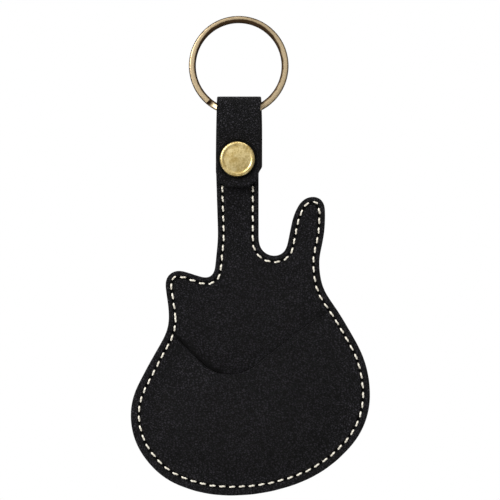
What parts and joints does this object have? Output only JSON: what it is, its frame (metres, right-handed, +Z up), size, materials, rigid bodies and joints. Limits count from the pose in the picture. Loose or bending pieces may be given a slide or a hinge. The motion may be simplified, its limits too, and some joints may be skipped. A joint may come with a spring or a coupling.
{
  "type": "pick holder",
  "caption": "Guitar-shaped stitched leather pocket for plectrums, hung from a split ring by a strap whose tongue opens on a press stud.",
  "frame": {"origin": "top of the split ring's inner edge, where the holder hangs", "axes": "+Z up as it hangs, -Y out of the front with the pocket, +X to the right seen from the front"},
  "size_m": [0.072, 0.0089, 0.1442],
  "materials": {
    "hide": "fine pebbled black leather with a satin topcoat",
    "ring_metal": "antique brass plate, dark in its recesses",
    "stud_metal": "antique brass, mottled, with a worn bright rim",
    "thread": "waxed ivory twisted polyester thread"
  },
  "bodies": {
    "ring": {"split_ring": "ring_metal"},
    "holder": {"back_panel": "hide", "front_panel": "hide", "pocket_panel": "hide", "strap_loop": "hide", "snap_stud": "stud_metal", "snap_eyelet": "stud_metal", "needle_thread": "thread", "bobbin_thread": "thread"},
    "tongue": {"strap_tongue": "hide", "snap_cap": "stud_metal", "snap_socket": "stud_metal"}
  },
  "joints": [
    {"name": "swing", "type": "hinge", "parent": "ring", "child": "holder", "pos_m": [0, 0, -0.0258], "axis": [1, 0, 0], "range_deg": [-160, 160]},
    {"name": "tongue_open", "type": "hinge", "parent": "holder", "child": "tongue", "pos_m": [0, 0, -0.0221], "axis": [-1, 0, 0], "range_deg": [0, 110]}
  ]
}
